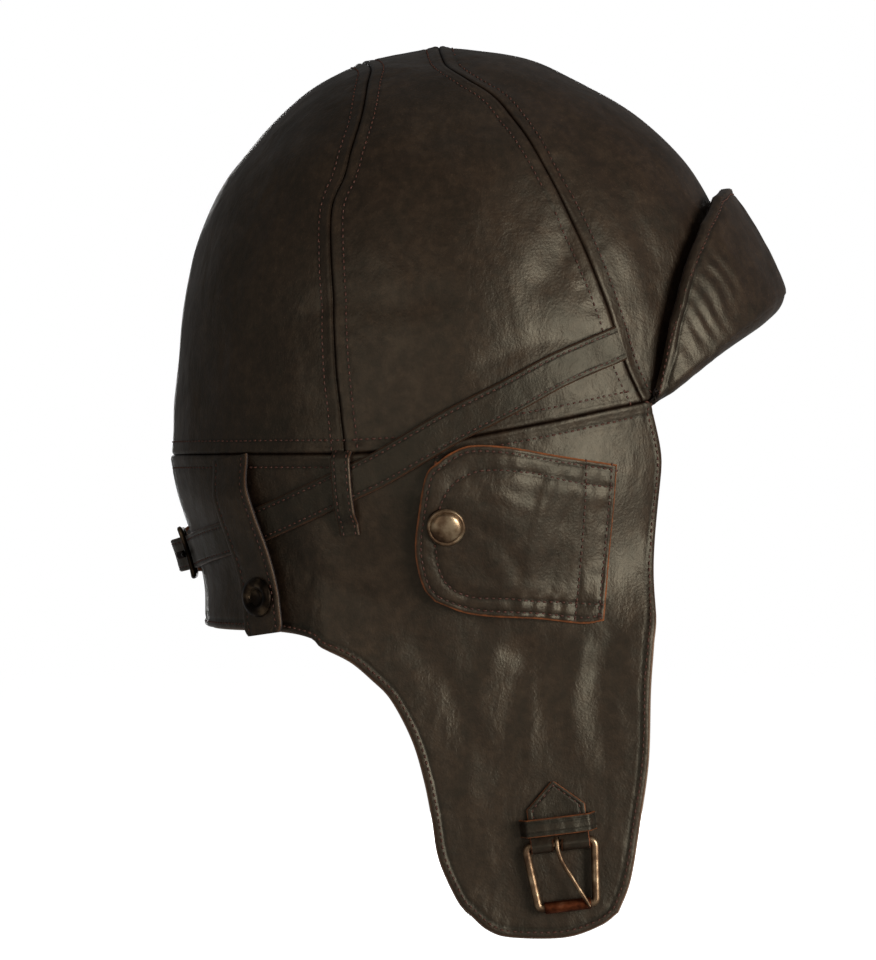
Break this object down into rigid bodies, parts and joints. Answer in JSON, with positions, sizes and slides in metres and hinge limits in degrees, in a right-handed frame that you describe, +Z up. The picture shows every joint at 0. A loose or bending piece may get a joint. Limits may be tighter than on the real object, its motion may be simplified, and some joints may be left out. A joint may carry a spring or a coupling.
{
  "type": "leather flying helmet",
  "caption": "Leather flying helmet with sewn crown panels, turned-up brow flap, neck curtain, snapped ear covers, side straps to a nape buckle, and ear flaps with a chin buckle and strap",
  "frame": {"origin": "centre of the head opening, level with the seam between the crown and the neck curtain at the nape", "axes": "+X the way the face looks, +Y the wearer's left, +Z up"},
  "size_m": [0.225, 0.178, 0.325],
  "materials": {
    "brown_leather": "dark brown garment leather, waxed, semi-gloss, softly wrinkled",
    "strap_leather": "dark brown strap leather with raw orange-brown edges",
    "suede_lining": "napped suede-like lining",
    "antique_brass": "antique brass, polished high spots",
    "dark_brass": "darkened brass",
    "copper_roller": "copper-brown plated roller"
  },
  "bodies": {
    "helmet": {"belt_loop_left": "strap_leather", "belt_loop_right": "strap_leather", "brow_fold": "brown_leather", "crown_front": "brown_leather", "crown_left": "brown_leather", "crown_lining": "suede_lining", "crown_rear": "brown_leather", "crown_right": "brown_leather", "curtain_left": "brown_leather", "curtain_lining_left": "suede_lining", "curtain_lining_right": "suede_lining", "curtain_right": "brown_leather", "ear_cover_edge_left": "brown_leather", "ear_cover_edge_right": "brown_leather", "ear_snap_stud_left": "dark_brass", "ear_snap_stud_right": "dark_brass", "nape_buckle_frame": "antique_brass", "nape_buckle_prong": "antique_brass", "nape_keeper": "strap_leather", "rear_snap_stud_left": "dark_brass", "rear_snap_stud_right": "dark_brass", "side_strap_left": "strap_leather", "side_strap_right": "strap_leather"},
    "ear_flap_right": {"ear_flap_right": "brown_leather", "ear_flap_lining_right": "suede_lining", "chin_chape": "strap_leather", "chin_keeper": "strap_leather"},
    "ear_flap_left": {"ear_flap_left": "brown_leather", "ear_flap_lining_left": "suede_lining", "chin_strap_patch": "strap_leather"},
    "brow_flap": {"brow_flap": "brown_leather", "brow_flap_facing": "brown_leather"},
    "chin_buckle_frame": {"chin_buckle_frame": "antique_brass"},
    "chin_buckle_prong": {"chin_buckle_prong": "antique_brass"},
    "chin_buckle_roller": {"chin_buckle_roller": "copper_roller"},
    "chin_strap": {"chin_strap": "strap_leather"},
    "ear_cover_right": {"ear_cover_right": "brown_leather", "ear_snap_cap_right": "antique_brass", "ear_snap_socket_right": "dark_brass"},
    "rear_tab_right": {"rear_tab_right": "brown_leather", "rear_snap_cap_right": "dark_brass", "rear_snap_socket_right": "dark_brass"},
    "ear_cover_left": {"ear_cover_left": "brown_leather", "ear_snap_cap_left": "antique_brass", "ear_snap_socket_left": "dark_brass"},
    "rear_tab_left": {"rear_tab_left": "brown_leather", "rear_snap_cap_left": "dark_brass", "rear_snap_socket_left": "dark_brass"}
  },
  "joints": [
    {"name": "ear_flap_right_fold", "type": "hinge", "parent": "helmet", "child": "ear_flap_right", "pos_m": [0, -0.07, -0.067], "axis": [1, 0, 0], "range_deg": [-140, 12]},
    {"name": "ear_cover_right_fold", "type": "hinge", "parent": "helmet", "child": "ear_cover_right", "pos_m": [0.03834, -0.07306, -0.05879], "axis": [0.0796, -0.1132, 0.9904], "range_deg": [0, 150]},
    {"name": "rear_tab_right_fold", "type": "hinge", "parent": "helmet", "child": "rear_tab_right", "pos_m": [-0.08258, -0.05402, -0.00124], "axis": [-0.7084, 0.7058, 0], "range_deg": [0, 140]},
    {"name": "ear_flap_left_fold", "type": "hinge", "parent": "helmet", "child": "ear_flap_left", "pos_m": [0, 0.07, -0.067], "axis": [-1, 0, 0], "range_deg": [-140, 12]},
    {"name": "ear_cover_left_fold", "type": "hinge", "parent": "helmet", "child": "ear_cover_left", "pos_m": [0.03834, 0.07306, -0.05879], "axis": [-0.0796, -0.1132, -0.9904], "range_deg": [0, 150]},
    {"name": "rear_tab_left_fold", "type": "hinge", "parent": "helmet", "child": "rear_tab_left", "pos_m": [-0.08258, 0.05402, -0.00124], "axis": [0.7084, 0.7058, 0], "range_deg": [0, 140]},
    {"name": "brow_flap_fold", "type": "hinge", "parent": "helmet", "child": "brow_flap", "pos_m": [0.1185, 0, 0.062], "axis": [0, 1, 0], "range_deg": [0, 40]},
    {"name": "chin_buckle_swing", "type": "hinge", "parent": "ear_flap_right", "child": "chin_buckle_frame", "pos_m": [0.0344, -0.0734, -0.135], "axis": [-0.9925, 0, -0.1219], "range_deg": [0, 85]},
    {"name": "chin_buckle_prong_swing", "type": "hinge", "parent": "chin_buckle_frame", "child": "chin_buckle_prong", "pos_m": [0.0344, -0.0734, -0.135], "axis": [0.9925, 0, 0.1219], "range_deg": [-75, 0]},
    {"name": "chin_buckle_roller_spin", "type": "hinge", "parent": "chin_buckle_frame", "child": "chin_buckle_roller", "pos_m": [0.03708, -0.0734, -0.15684], "axis": [0.9925, 0, 0.1219], "continuous": true},
    {"name": "chin_strap_fold", "type": "hinge", "parent": "ear_flap_left", "child": "chin_strap", "pos_m": [0, 0.0645, -0.1712], "axis": [1, 0, 0], "range_deg": [0, 175]}
  ]
}
